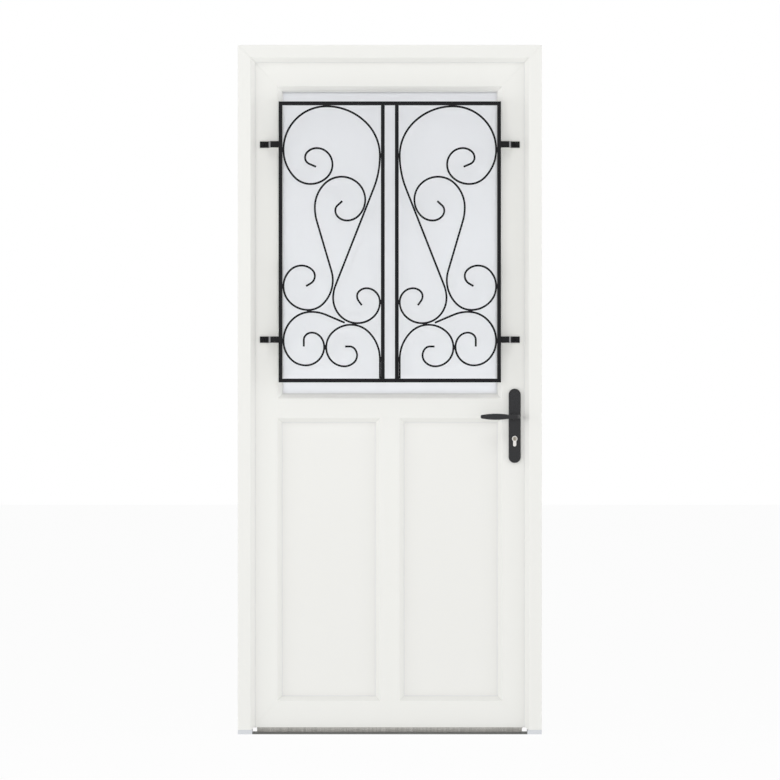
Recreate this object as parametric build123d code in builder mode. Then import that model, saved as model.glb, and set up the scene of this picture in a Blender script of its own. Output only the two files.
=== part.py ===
"""White uPVC entrance door that opens inwards: frame, low threshold, glazed leaf with two infill
panels, wrought-iron scroll grille, lever handles and a profile cylinder.
Millimetres, +Z up, X to the right and -Y towards the street. The origin is under the middle of the
threshold, halfway through the frame's depth."""

import os
from math import atan2, cos, degrees, hypot, radians, sin, tan

from build123d import *

# Overall size of the frame
frame_w = 966
frame_h = 2190
frame_d = 70

# Frame section: u runs from the wall side towards the opening
frame_flat = 40          # width of the flat outside face
frame_face = 54          # whole width seen from outside
frame_bevel = 12         # depth of the bevel beside the flat
frame_lip = 15           # thickness of the lip that the leaf shuts behind
rebate_u = 34            # where the rebate floor lies
foot_cap_h = 14
cap_edge = 3
lip_cut = 10             # how much of the lip's foot is cut off at 45 degrees

# Leaf section: v runs from the leaf's edge towards the glass
rebate_gap = 12          # air round the leaf in the rebate
leaf_gap = 5             # air between the lip and the leaf
leaf_d = 70
stile_face = 93
rail_face = 98
flange_w = 20            # flange that covers the frame on the room side
flange_t = 15
leaf_bevel = 13          # width of the bevel beside the glass
leaf_bevel_d = 12
glass_lip = 15           # thickness of the lip that holds the glass
glass_cover = 18         # how far the lip and the bead cover the glass
leaf_lift = 21           # underside of the leaf above the floor
leaf_corner = 4          # cut off the leaf's bottom corners at 45 degrees
mid_rail_z = 992         # underside of the middle rail
bar_face = 88            # width of the middle rail and the mullion

# Glass and panels
unit_t = 28
pane_t = 4
gasket_t = 3
gasket_w = 5
gasket_hide = 1          # how much of a gasket lies behind the lip
unit_gap = 5             # air round the unit in its rebate
spacer_w = 12
bead_chamfer = 8
hairline = 0.3           # gap at each bead's mitre

# Seals, brush and threshold
seal_w = 8
seal_show = 2.5          # how much of the frame seal shows past the lip
seal_clear = 0.3         # air between a soft seal and what shuts against it
leaf_seal_w = 5.5
leaf_seal_in = 1.5       # from the flange's edge to its seal
threshold_t = 6
threshold_edge = 3
brush_t = 7
brush_end = 15           # how far the brush stops short of the leaf's edge
carrier_h = 3
carrier_t = 11

# Grille of square bar, with scrolls of flat bar
grille_over = 9          # how far the grille runs past the sides of the glass opening
grille_end_low = 38      # from the opening's bottom edge to the grille
grille_end_top = 36      # from the grille to the opening's top edge
grille_bar = 12
grille_off = 24          # air between the leaf and the grille
inner_bar_x = 22.2       # centre of each inner bar from the middle
scroll_t = 6
touch = 0.2              # air left for the weld where scrolls touch

# Lugs that hold the grille on the stiles
lug_h = 20
lug_t = 4
lug_end = 136            # from the grille's end to the middle of the lug
lug_bend = 30            # from the grille to the bend
lug_tab = 30             # from the bend to the end of the tab
lug_slope = 6            # how far the bend leans

# Handle set and lock
backset = 40
lever_z = 1009
lock_pitch = 70          # from the lever's axis down to the cylinder's
handle_w = 38
handle_h = 236
handle_drop = 29         # from the lever's axis down to the plate's middle
handle_t = 9
handle_edge = 2
neck_d = 20
journal_d = 18
fit = 0.05               # running clearance round a journal
spindle_side = 8
spindle_hole = 24
lever_reach = 45         # from the plate to the middle of the lever
lever_t = 11
lever_tip = 109          # from the spindle to the tip
lever_heel = 15
lever_neck_h = 13
lever_belly_h = 19.5
lever_tip_h = 10
lever_tip_r = 4.5
lever_belly = 60         # from the spindle to the widest place
lever_edge = 2.5
elbow_r = 9

cylinder_d = 17
cylinder_h = 33
cylinder_web = 10
cylinder_proud = 3
cylinder_clear = 0.5
plug_d = 13
plug_l = 28
key_slot_w = 2
key_slot_h = 8.5
key_slot_l = 20

lock_w = 16
lock_t = 3
lock_round = 7.5
lock_end_low = 89        # from the leaf's ends to the lock strip
lock_end_top = 134
lock_depth = 25          # middle of the lock strip from the leaf's outside face
pocket_l = 12
latch_h = 32
dead_h = 34
dead_drop = 129          # from the lever's axis down to the deadbolt
hook_h = 42
hook_reach = 720         # hooks above and below the lever
bolt_w = 10
bolt_clear = 0.3
pocket_w = 14
keep_hole_w = 12
keep_extra = 35          # how much a keep runs past its pocket

# Hinges
hinge_axis_x = 14        # from the frame's edge to the hinge axis
hinge_axis_y = 25        # from the frame's room side to the hinge axis
hinge_d = 16
hinge_l = 110
hinge_pin_d = 8
hinge_joint = 1          # air between the knuckles
hinge_plate_t = 4
hinge_plate_w = 22
hinge_leaf_w = 40
hinge_web_t = 8
hinge_end = 225          # from the leaf's ends to the middle of the end hinges

# Places worked out from the sizes above
left = -frame_w / 2
right = frame_w / 2
outside = -frame_d / 2
inside = frame_d / 2
lip_back = outside + frame_lip
edge_u = rebate_u + rebate_gap
leaf_x = frame_w / 2 - edge_u
leaf_top = frame_h - edge_u
leaf_out = lip_back + leaf_gap
leaf_in = leaf_out + leaf_d
stretch = rail_face / stile_face
glass_x = leaf_x - stile_face
glass_top = leaf_top - rail_face
bar_top = mid_rail_z + bar_face
panel_low = leaf_lift + rail_face
glass_back = leaf_out + glass_lip
unit_out = glass_back + gasket_t
unit_in = unit_out + unit_t
bead_out = unit_in + gasket_t
grille_x = glass_x + grille_over
grille_low = bar_top + grille_end_low
grille_high = glass_top - grille_end_top
grille_h = grille_high - grille_low
grille_z = (grille_low + grille_high) / 2
grille_back = leaf_out - grille_off
grille_front = grille_back - grille_bar
lug_z = grille_h / 2 - lug_end
handle_x = leaf_x - backset
handle_z = lever_z - handle_drop
cylinder_z = lever_z - lock_pitch
dead_z = lever_z - dead_drop
hinge_zs = (leaf_lift + hinge_end, (leaf_lift + leaf_top) / 2, leaf_top - hinge_end)
plate_out = leaf_out - handle_t
plate_in = leaf_in + handle_t
hinge_x = left + hinge_axis_x
hinge_y = inside + hinge_axis_y

os.makedirs("parts", exist_ok=True)


def save(piece, name):
    piece.part.label = name
    export_step(piece.part, f"parts/{name}.step")


def jamb_plane(z):
    """Level plane at the frame's left edge: its x is u and its y runs into the room."""
    return Plane(origin=(left, 0, z), x_dir=(1, 0, 0), z_dir=(0, 0, 1))


def head_plane():
    return Plane(origin=(left, 0, frame_h), x_dir=(0, 0, -1), z_dir=(1, 0, 0))


def frame_section():
    with BuildSketch(Plane.XY) as section:
        with BuildLine():
            Polyline(
                (0, outside),
                (frame_flat, outside),
                (frame_face, outside + frame_bevel),
                (frame_face, lip_back),
                (rebate_u, lip_back),
                (rebate_u, inside),
                (0, inside),
                close=True,
            )
        make_face()
    return section.sketch


def leaf_section(across, flange=True):
    """Section of a leaf bar, from its edge at 0 to the glass, widened by the factor given."""
    reach = stile_face * across
    cover = glass_cover * across
    edge = -flange_w * across
    with BuildSketch(Plane.XY) as section:
        with BuildLine():
            Polyline(
                (0, leaf_out),
                (reach - leaf_bevel * across, leaf_out),
                (reach, leaf_out + leaf_bevel_d),
                (reach, glass_back),
                (reach - cover, glass_back),
                (reach - cover, leaf_in),
                (0, leaf_in),
                close=True,
            )
        make_face()
        if flange:
            with Locations((edge / 2, leaf_in - flange_t / 2)):
                Rectangle(-edge, flange_t)
    return section.sketch


def bar_section():
    """Section of the middle rail and the mullion, about their own middle."""
    half = bar_face / 2
    web = half - glass_cover
    with BuildSketch(Plane.XY) as section:
        with BuildLine():
            Polyline(
                (-half, glass_back),
                (-half, leaf_out + leaf_bevel_d),
                (-half + leaf_bevel, leaf_out),
                (half - leaf_bevel, leaf_out),
                (half, leaf_out + leaf_bevel_d),
                (half, glass_back),
                (web, glass_back),
                (web, leaf_in),
                (-web, leaf_in),
                (-web, glass_back),
                close=True,
            )
        make_face()
    return section.sketch


def upright(x0, x1, y0, y1, z0, z1):
    """Plain rectangular block between the given limits."""
    with BuildPart() as block:
        with BuildSketch(Plane.XY.offset(z0)):
            with Locations(((x0 + x1) / 2, (y0 + y1) / 2)):
                Rectangle(x1 - x0, y1 - y0)
        extrude(amount=z1 - z0)
    return block.part


# Frame: two jambs and a head, mitred at the top
head_mitre = Plane(origin=(left, 0, frame_h), z_dir=(1, 0, 1))
keep_zs = (lever_z, lever_z + hook_reach, lever_z - hook_reach)
keep_hs = (lever_z - dead_z + dead_h, hook_h, hook_h)
keep_mids = ((lever_z + dead_z) / 2, keep_zs[1], keep_zs[2])
lock_y = leaf_out + lock_depth

with BuildPart() as frame_left_jamb:
    with BuildSketch(jamb_plane(foot_cap_h)):
        add(frame_section())
    extrude(amount=frame_h - foot_cap_h)
    split(bisect_by=head_mitre, keep=Keep.BOTTOM)
    with BuildSketch(Plane.XZ.offset(-lip_back)):
        with BuildLine():
            Polyline(
                (left + frame_face, foot_cap_h),
                (left + frame_face - lip_cut, foot_cap_h),
                (left + frame_face, foot_cap_h + lip_cut),
                close=True,
            )
        make_face()
    extrude(amount=frame_d, mode=Mode.SUBTRACT)

with BuildPart() as frame_right_jamb:
    add(frame_left_jamb.part.mirror(Plane.YZ))
    for mid, high in zip(keep_mids, keep_hs):
        with BuildSketch(Plane.YZ.offset(right - rebate_u)):
            with Locations((lock_y, mid)):
                Rectangle(pocket_w, high)
        extrude(amount=pocket_l, mode=Mode.SUBTRACT)

with BuildPart() as frame_head:
    with BuildSketch(head_plane()):
        add(frame_section())
    extrude(amount=frame_w)
    split(bisect_by=head_mitre, keep=Keep.TOP)
    split(bisect_by=Plane(origin=(right, 0, frame_h), z_dir=(-1, 0, 1)), keep=Keep.TOP)

save(frame_left_jamb, "frame_left_jamb")
save(frame_right_jamb, "frame_right_jamb")
save(frame_head, "frame_head")

# Grey caps under the jambs, and the flat threshold between them
cap_w = frame_face - seal_w

for side, name in ((-1, "foot_cap_left"), (1, "foot_cap_right")):
    with BuildPart() as foot_cap:
        with BuildSketch(Plane.XY):
            with Locations((side * (right - cap_w / 2), 0)):
                Rectangle(cap_w, frame_d)
        extrude(amount=foot_cap_h)
        opening_side = foot_cap.faces().sort_by(Axis.X)[0 if side > 0 else -1]
        chamfer(opening_side.edges().sort_by(Axis.Z)[-1], cap_edge)
    save(foot_cap, name)

with BuildPart() as threshold:
    with BuildSketch(Plane.YZ.offset(left + cap_w)):
        with BuildLine():
            Polyline(
                (outside, 0),
                (outside, threshold_t - threshold_edge),
                (outside + threshold_edge, threshold_t),
                (inside - threshold_edge, threshold_t),
                (inside, threshold_t - threshold_edge),
                (inside, 0),
                close=True,
            )
        make_face()
    extrude(amount=frame_w - 2 * cap_w)
save(threshold, "threshold")

# Seal on the lip, round three sides
with BuildPart() as frame_seal:
    with BuildSketch(Plane.XZ.offset(-lip_back - leaf_gap + seal_clear)):
        seal_u = frame_face + seal_show
        foot = foot_cap_h + lip_cut
        with BuildLine():
            Polyline(
                (left + seal_u, foot),
                (left + seal_u, frame_h - seal_u),
                (right - seal_u, frame_h - seal_u),
                (right - seal_u, foot),
                (right - seal_u + seal_w, foot),
                (right - seal_u + seal_w, frame_h - seal_u + seal_w),
                (left + seal_u - seal_w, frame_h - seal_u + seal_w),
                (left + seal_u - seal_w, foot),
                close=True,
            )
        make_face()
    extrude(amount=leaf_gap - seal_clear)
save(frame_seal, "frame_seal")

# Keeps on the lock side of the frame
with BuildPart() as strike_keeps:
    for mid, high in zip(keep_mids, keep_hs):
        with BuildSketch(Plane.YZ.offset(right - rebate_u)):
            with Locations((lock_y, mid)):
                Rectangle(lock_w, high + 2 * keep_extra)
                Rectangle(keep_hole_w, high, mode=Mode.SUBTRACT)
        extrude(amount=-lock_t)
save(strike_keeps, "strike_keeps")

# Leaf: two stiles and two rails, mitred at the corners
stile_plane = Plane(origin=(-leaf_x, 0, leaf_lift), x_dir=(1, 0, 0), z_dir=(0, 0, 1))
flange_top = leaf_top + flange_w * stretch
top_mitre = Plane(origin=(-leaf_x, 0, leaf_top), z_dir=(rail_face, 0, stile_face))
low_mitre = Plane(origin=(-leaf_x, 0, leaf_lift), z_dir=(rail_face, 0, -stile_face))

with BuildPart() as leaf_hinge_stile:
    with BuildSketch(stile_plane):
        add(leaf_section(1))
    extrude(amount=flange_top - leaf_lift)
    split(bisect_by=top_mitre, keep=Keep.BOTTOM)
    split(bisect_by=low_mitre, keep=Keep.BOTTOM)
    with BuildSketch(Plane.XZ.offset(-leaf_out)):
        with BuildLine():
            Polyline(
                (-leaf_x, leaf_lift),
                (-leaf_x + leaf_corner, leaf_lift),
                (-leaf_x, leaf_lift + leaf_corner),
                close=True,
            )
        make_face()
    extrude(amount=-leaf_d, mode=Mode.SUBTRACT)

with BuildPart() as leaf_lock_stile:
    add(leaf_hinge_stile.part.mirror(Plane.YZ))
    with BuildSketch(Plane.XZ.offset(-leaf_out)):
        with Locations((handle_x, lever_z)):
            Circle(spindle_hole / 2)
        with Locations((handle_x, cylinder_z)):
            Circle(cylinder_d / 2 + cylinder_clear)
        with Locations((handle_x, cylinder_z + cylinder_d / 2 - cylinder_h / 2)):
            SlotOverall(
                cylinder_h + 2 * cylinder_clear, cylinder_web + 2 * cylinder_clear, rotation=90
            )
    extrude(amount=-leaf_d, mode=Mode.SUBTRACT)
    for z, high in (
        (lever_z, latch_h),
        (dead_z, dead_h),
        (keep_zs[1], hook_h),
        (keep_zs[2], hook_h),
    ):
        with BuildSketch(Plane.YZ.offset(leaf_x)):
            with Locations((lock_y, z)):
                Rectangle(bolt_w + 2 * bolt_clear, high + 2 * bolt_clear)
        extrude(amount=-pocket_l, mode=Mode.SUBTRACT)

with BuildPart() as leaf_top_rail:
    with BuildSketch(
        Plane(origin=(-leaf_x - flange_w, 0, leaf_top), x_dir=(0, 0, -1), z_dir=(1, 0, 0))
    ):
        add(leaf_section(stretch))
    extrude(amount=2 * (leaf_x + flange_w))
    split(bisect_by=top_mitre, keep=Keep.TOP)
    split(
        bisect_by=Plane(origin=(leaf_x, 0, leaf_top), z_dir=(-rail_face, 0, stile_face)),
        keep=Keep.TOP,
    )

with BuildPart() as leaf_bottom_rail:
    with BuildSketch(
        Plane(origin=(leaf_x, 0, leaf_lift), x_dir=(0, 0, 1), z_dir=(-1, 0, 0))
    ):
        add(leaf_section(stretch, flange=False))
    extrude(amount=2 * leaf_x)
    split(bisect_by=low_mitre, keep=Keep.TOP)
    split(
        bisect_by=Plane(origin=(leaf_x, 0, leaf_lift), z_dir=(-rail_face, 0, -stile_face)),
        keep=Keep.TOP,
    )

# Middle rail and mullion, with their ends cut to the bars that they meet
with BuildPart() as mid_rail:
    with BuildSketch(
        Plane(
            origin=(-glass_x - glass_cover, 0, mid_rail_z + bar_face / 2),
            x_dir=(0, 0, -1),
            z_dir=(1, 0, 0),
        )
    ):
        add(bar_section())
    extrude(amount=2 * (glass_x + glass_cover))
    add(leaf_hinge_stile.part, mode=Mode.SUBTRACT)
    add(leaf_lock_stile.part, mode=Mode.SUBTRACT)

with BuildPart() as mullion:
    with BuildSketch(Plane.XY.offset(panel_low - glass_cover * stretch)):
        add(bar_section())
    extrude(amount=mid_rail_z + glass_cover - panel_low + glass_cover * stretch)
    add(leaf_bottom_rail.part, mode=Mode.SUBTRACT)
    add(mid_rail.part, mode=Mode.SUBTRACT)

save(leaf_hinge_stile, "leaf_hinge_stile")
save(leaf_lock_stile, "leaf_lock_stile")
save(leaf_top_rail, "leaf_top_rail")
save(leaf_bottom_rail, "leaf_bottom_rail")
save(mid_rail, "mid_rail")
save(mullion, "mullion")

# Openings as (x0, x1, z0, z1) between the edges of the lips
half_bar = bar_face / 2
glass_opening = (-glass_x, glass_x, bar_top, glass_top)
left_opening = (-glass_x, -half_bar, panel_low, mid_rail_z)
right_opening = (half_bar, glass_x, panel_low, mid_rail_z)


def grown(opening, by):
    x0, x1, z0, z1 = opening
    return (x0 - by, x1 + by, z0 - by, z1 + by)


def sheet(opening, y0, y1):
    x0, x1, z0, z1 = opening
    return upright(x0, x1, y0, y1, z0, z1)


def ring(opening, width, y0, y1):
    """Rectangular ring inside the opening given, with bars of this width."""
    with BuildPart() as made:
        add(sheet(opening, y0, y1))
        add(sheet(grown(opening, -width), y0, y1), mode=Mode.SUBTRACT)
    return made.part


glass_size = grown(glass_opening, glass_cover - unit_gap)

with BuildPart() as outer_pane:
    add(sheet(glass_size, unit_out, unit_out + pane_t))
with BuildPart() as inner_pane:
    add(sheet(glass_size, unit_in - pane_t, unit_in))
with BuildPart() as glass_spacer:
    add(ring(glass_size, spacer_w, unit_out + pane_t, unit_in - pane_t))
with BuildPart() as panel_left:
    add(sheet(grown(left_opening, glass_cover - unit_gap), unit_out, unit_in))
with BuildPart() as panel_right:
    add(sheet(grown(right_opening, glass_cover - unit_gap), unit_out, unit_in))

save(outer_pane, "outer_pane")
save(inner_pane, "inner_pane")
save(glass_spacer, "glass_spacer")
save(panel_left, "panel_left")
save(panel_right, "panel_right")

# Gaskets on both sides of the glass and of the panels
with BuildPart() as glazing_gaskets:
    for opening in (glass_opening, left_opening, right_opening):
        edge = grown(opening, gasket_hide)
        add(ring(edge, gasket_w, glass_back, unit_out))
        add(ring(edge, gasket_w, unit_in, bead_out))
save(glazing_gaskets, "glazing_gaskets")


def beads(opening):
    """Four glazing beads on the room side, cut apart at their mitres."""
    outer = grown(opening, glass_cover)
    x0, x1, z0, z1 = outer
    with BuildPart() as made:
        add(ring(outer, glass_cover, bead_out, leaf_in))
        room_side = made.faces().sort_by(Axis.Y)[-1]
        chamfer(room_side.inner_wires()[0].edges(), bead_chamfer)
        with BuildSketch(Plane.XZ.offset(-leaf_in)):
            for x, z, turn in ((x0, z0, 45), (x1, z0, -45), (x0, z1, -45), (x1, z1, 45)):
                with Locations((x, z)):
                    Rectangle(4 * glass_cover, hairline, rotation=turn)
        extrude(amount=leaf_in - bead_out, mode=Mode.SUBTRACT)
    return made


save(beads(glass_opening), "glass_beads")
save(beads(left_opening), "panel_beads_left")
save(beads(right_opening), "panel_beads_right")

# Seal on the leaf's flange
with BuildPart() as leaf_seal:
    with BuildSketch(Plane.XZ.offset(-leaf_in + flange_t)):
        seal_x = leaf_x + flange_w - leaf_seal_in
        seal_top = flange_top - leaf_seal_in
        with BuildLine():
            Polyline(
                (-seal_x, leaf_lift),
                (-seal_x, seal_top),
                (seal_x, seal_top),
                (seal_x, leaf_lift),
                (seal_x - leaf_seal_w, leaf_lift),
                (seal_x - leaf_seal_w, seal_top - leaf_seal_w),
                (-seal_x + leaf_seal_w, seal_top - leaf_seal_w),
                (-seal_x + leaf_seal_w, leaf_lift),
                close=True,
            )
        make_face()
    extrude(amount=leaf_in - flange_t - inside - seal_clear)
save(leaf_seal, "leaf_seal")

# Brush under the leaf
brush_x = leaf_x - brush_end
with BuildPart() as bottom_brush:
    with BuildSketch(Plane.XY.offset(leaf_lift)):
        with Locations((0, leaf_out + carrier_t / 2)):
            Rectangle(2 * brush_x, carrier_t)
    extrude(amount=-carrier_h)
    with BuildSketch(Plane.XY.offset(leaf_lift - carrier_h)):
        with Locations((0, leaf_out + brush_t / 2)):
            Rectangle(2 * brush_x, brush_t)
    extrude(amount=-(leaf_lift - carrier_h - threshold_t - seal_clear))
save(bottom_brush, "bottom_brush")

# Lock strip on the leaf's edge, and the ends of its bolts
bolts = (
    (lever_z, latch_h),
    (dead_z, dead_h),
    (keep_zs[1], hook_h),
    (keep_zs[2], hook_h),
)
strip_low = leaf_lift + lock_end_low
strip_top = leaf_top - lock_end_top
with BuildPart() as lock_strip:
    with BuildSketch(Plane.YZ.offset(leaf_x)):
        with Locations((lock_y, (strip_low + strip_top) / 2)):
            RectangleRounded(lock_w, strip_top - strip_low, lock_round)
        for z, high in bolts:
            with Locations((lock_y, z)):
                Rectangle(bolt_w + 2 * bolt_clear, high + 2 * bolt_clear, mode=Mode.SUBTRACT)
    extrude(amount=lock_t)
save(lock_strip, "lock_strip")

with BuildPart() as lock_bolts:
    for z, high in bolts:
        with BuildSketch(Plane.YZ.offset(leaf_x - pocket_l)):
            with Locations((lock_y, z)):
                Rectangle(bolt_w, high)
        extrude(amount=pocket_l + lock_t)
save(lock_bolts, "lock_bolts")

# Hinges on the room side: two knuckles and the pin on the frame, the middle knuckle on the leaf
knuckle_l = (hinge_l - 2 * hinge_joint) / 3
hinge_r = hinge_d / 2


def knuckle(z, high, bore=0):
    with BuildPart() as made:
        with BuildSketch(Plane.XY.offset(z)):
            with Locations((hinge_x, hinge_y)):
                Circle(hinge_r)
                if bore:
                    Circle(bore / 2, mode=Mode.SUBTRACT)
        extrude(amount=high)
    return made.part


with BuildPart() as hinge_frame_parts:
    for mid in hinge_zs:
        low = mid - hinge_l / 2
        for z in (low, low + 2 * (knuckle_l + hinge_joint)):
            add(knuckle(z, knuckle_l))
            add(
                upright(
                    hinge_x - hinge_r,
                    hinge_x - hinge_r + hinge_web_t,
                    inside,
                    hinge_y,
                    z,
                    z + knuckle_l,
                )
            )
        add(
            upright(
                hinge_x - hinge_plate_w / 2,
                hinge_x + hinge_plate_w / 2,
                inside,
                inside + hinge_plate_t,
                low,
                low + hinge_l,
            )
        )
        with BuildSketch(Plane.XY.offset(low)):
            with Locations((hinge_x, hinge_y)):
                Circle(hinge_pin_d / 2)
        extrude(amount=hinge_l)
save(hinge_frame_parts, "hinge_frame_parts")

with BuildPart() as hinge_leaf_parts:
    for mid in hinge_zs:
        low = mid - knuckle_l / 2
        add(knuckle(low, knuckle_l))
        add(
            upright(
                hinge_x,
                -leaf_x - flange_w + hinge_leaf_w,
                leaf_in,
                leaf_in + hinge_web_t,
                low,
                low + knuckle_l,
            )
        )
        add(
            upright(
                -leaf_x - flange_w + hinge_plate_t,
                -leaf_x - flange_w + hinge_leaf_w,
                leaf_in,
                leaf_in + hinge_plate_t,
                mid - hinge_l / 2,
                mid + hinge_l / 2,
            )
        )
        with BuildSketch(Plane.XY.offset(low)):
            with Locations((hinge_x, hinge_y)):
                Circle(hinge_pin_d / 2 + fit)
        extrude(amount=knuckle_l, mode=Mode.SUBTRACT)
save(hinge_leaf_parts, "hinge_leaf_parts")

# Grille frame: six bars, butted and welded
for name, x in (("grille_bar_left", -grille_x), ("grille_bar_right", grille_x - grille_bar)):
    with BuildPart() as bar:
        add(upright(x, x + grille_bar, grille_front, grille_back, grille_low, grille_high))
    save(bar, name)
for name, z in (("grille_bar_bottom", grille_low), ("grille_bar_top", grille_high - grille_bar)):
    with BuildPart() as bar:
        add(
            upright(
                -grille_x + grille_bar,
                grille_x - grille_bar,
                grille_front,
                grille_back,
                z,
                z + grille_bar,
            )
        )
    save(bar, name)
for name, x in (("grille_inner_bar_left", -inner_bar_x), ("grille_inner_bar_right", inner_bar_x)):
    with BuildPart() as bar:
        add(
            upright(
                x - grille_bar / 2,
                x + grille_bar / 2,
                grille_front,
                grille_back,
                grille_low + grille_bar,
                grille_high - grille_bar,
            )
        )
    save(bar, name)

# Scrolls: flat bar bent on its wide side, in the field between the side bar and the inner bar. Each
# is given by its turning points, where the bar runs upright or level, from the middle of a field
# of the drawn size, and follows the real field. Two arcs of 45 degrees join each pair of them. The
# bar's ends stay straight, as the jig leaves them.
field_in = inner_bar_x + grille_bar / 2 + touch
field_out = grille_x - grille_bar - touch
field_h = grille_h - 2 * (grille_bar + touch)
drawn_field = (312.4, 867.6)
wide = (field_out - field_in) / drawn_field[0]
high = field_h / drawn_field[1]
half_t = scroll_t / 2
edge_x = drawn_field[0] / 2 - half_t
edge_z = drawn_field[1] / 2 - half_t
eighth = radians(45)


def stretched(heading, length):
    """Length and heading that a step has in the real field."""
    x = length * cos(radians(heading)) * wide
    z = length * sin(radians(heading)) * high
    return hypot(x, z), degrees(atan2(z, x))


def placed_spot(spot, heading, side):
    """Place of a turning point in the real field. The bar's outer face follows the field and its
    thickness stays, so that scrolls which touch still do."""
    away = radians(heading - 90 * side)
    x, z = half_t * cos(away), half_t * sin(away)
    return (spot[0] + x) * wide - x, (spot[1] + z) * high - z


def heading_arc(start, heading, radius, turn):
    """Arc that leaves start along the heading, in degrees; a positive turn goes anticlockwise."""
    way = (cos(radians(heading)), sin(radians(heading)))
    arc = JernArc(start, way, radius, turn)
    spot = arc @ 1
    return (spot.X, spot.Y), heading + turn


def straight_on(start, heading, length):
    """Straight from start along the heading."""
    end = (start[0] + length * cos(radians(heading)), start[1] + length * sin(radians(heading)))
    Line(start, end)
    return end


def quarter(start, end, heading, side):
    """Two arcs of 45 degrees from one turning point to the next."""
    across = heading + 90 * side
    run = (end[0] - start[0], end[1] - start[1])
    ahead = run[0] * cos(radians(heading)) + run[1] * sin(radians(heading))
    aside = run[0] * cos(radians(across)) + run[1] * sin(radians(across))
    share = sin(eighth)
    first = (share * ahead - (1 - share) * aside) / (2 * share - 1)
    second = (share * aside - (1 - share) * ahead) / (2 * share - 1)
    spot, heading = heading_arc(start, heading, first, 45 * side)
    spot, heading = heading_arc(spot, heading, second, 45 * side)
    return spot, heading


def crossing(start, end, heading, side, first, second):
    """S between two upright points: an arc, a straight and an arc back. The straight, made longer,
    would meet the upright through each point at this distance from it."""
    ahead = abs(end[1] - start[1]) - first - second
    aside = abs(end[0] - start[0])
    lean = degrees(atan2(aside, ahead))
    bend = tan(radians(lean / 2))
    spot, heading = heading_arc(start, heading, first / bend, lean * side)
    spot = straight_on(spot, heading, hypot(ahead, aside) - first - second)
    spot, heading = heading_arc(spot, heading, second / bend, -lean * side)
    return spot, heading


def finish_end(spot, heading, side, radius, turn, straight):
    """End of a scroll: a last arc, where there is one, and the straight end of the bar."""
    if turn:
        leg = radius * tan(radians(turn / 2))
        first, heading = stretched(heading, leg)
        run, new_heading = stretched(heading + turn * side, leg + straight)
        bend = (new_heading - heading + 180) % 360 - 180
        spot, heading = heading_arc(spot, heading, first / abs(tan(radians(bend / 2))), bend)
        straight = run - first
    else:
        straight, heading = stretched(heading, straight)
    straight_on(spot, heading, straight)


def scroll(first_end, points, heading, side, last_end, cross=None):
    """Centre line of a scroll. side is 1 where it winds anticlockwise. Each end is (radius, turn,
    straight). cross holds the index of the point where the S crosses over, and its two lengths."""
    with BuildLine() as path:
        spot = placed_spot(points[0], heading, side)
        finish_end(spot, heading + 180, -side, *first_end)
        for index, target in enumerate(points[1:]):
            if cross and index == cross[0]:
                side = -side
                end = placed_spot(target, heading, side)
                spot, heading = crossing(
                    spot, end, heading, -side, cross[1] * high, cross[2] * high
                )
            else:
                end = placed_spot(target, heading + 90 * side, side)
                spot, heading = quarter(spot, end, heading, side)
        finish_end(spot, heading, side, *last_end)
    return path.line


field_x = (field_in + field_out) / 2
scroll_plane = Plane(origin=(-field_x, grille_back, grille_z), x_dir=(1, 0, 0), z_dir=(0, -1, 0))
upper_big = scroll(
    (22, 67, 23),
    [
        (-84.4, 268),
        (-47.4, 298),
        (2.6, 246),
        (-67.4, 184),
        (-edge_x, 293),
        (-16.4, edge_z),
        (edge_x, 274),
        (4.6, -178),
        (81.6, -258),
        (edge_x, -191),
        (110.6, -147),
        (80.6, -172),
    ],
    90,
    -1,
    (26, 36, 17),
    cross=(6, 53.6, 20.8),
)
upper_small = scroll(
    (22, 48, 20),
    [
        (11.6, 100),
        (48.6, 68),
        (106.6, 134),
        (31.6, 207),
        (-53.4, 110),
        (3.6, -122),
        (-74.4, -216),
        (-edge_x, -141),
        (-95.4, -75),
        (-53.4, -108),
    ],
    -90,
    1,
    (28, 60, 16),
    cross=(4, 23, 15.3),
)
lower_side = scroll(
    (0, 0, 21),
    [
        (-88.4, -311),
        (-63.4, -288),
        (-23.8, -333),
        (-82.4, -392),
        (-edge_x, -314),
        (-64.4, -222),
    ],
    90,
    -1,
    (120, 23, 64),
)
lower_middle = scroll(
    (0, 0, 15),
    [
        (57.6, -332),
        (80.6, -360),
        (40.6, -395),
        (-17.4, -335),
        (61.6, -263),
        (edge_x, -372),
    ],
    0,
    -1,
    (0, 0, drawn_field[1] / 2 - 372),
)

paths = {
    "upper_big_scrolls": upper_big,
    "upper_small_scrolls": upper_small,
    "lower_side_scrolls": lower_side,
    "lower_middle_scrolls": lower_middle,
}
for name, path in paths.items():
    wire = Wire(path.edges())
    placed = scroll_plane.from_local_coords(wire)
    with BuildPart() as bent_bars:
        with BuildSketch(Plane(origin=placed @ 0, x_dir=(0, 1, 0), z_dir=placed % 0)):
            with Locations((-grille_bar / 2, 0)):
                Rectangle(grille_bar, scroll_t)
        sweep(path=placed)
        mirror(about=Plane.YZ)
    save(bent_bars, name)

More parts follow.
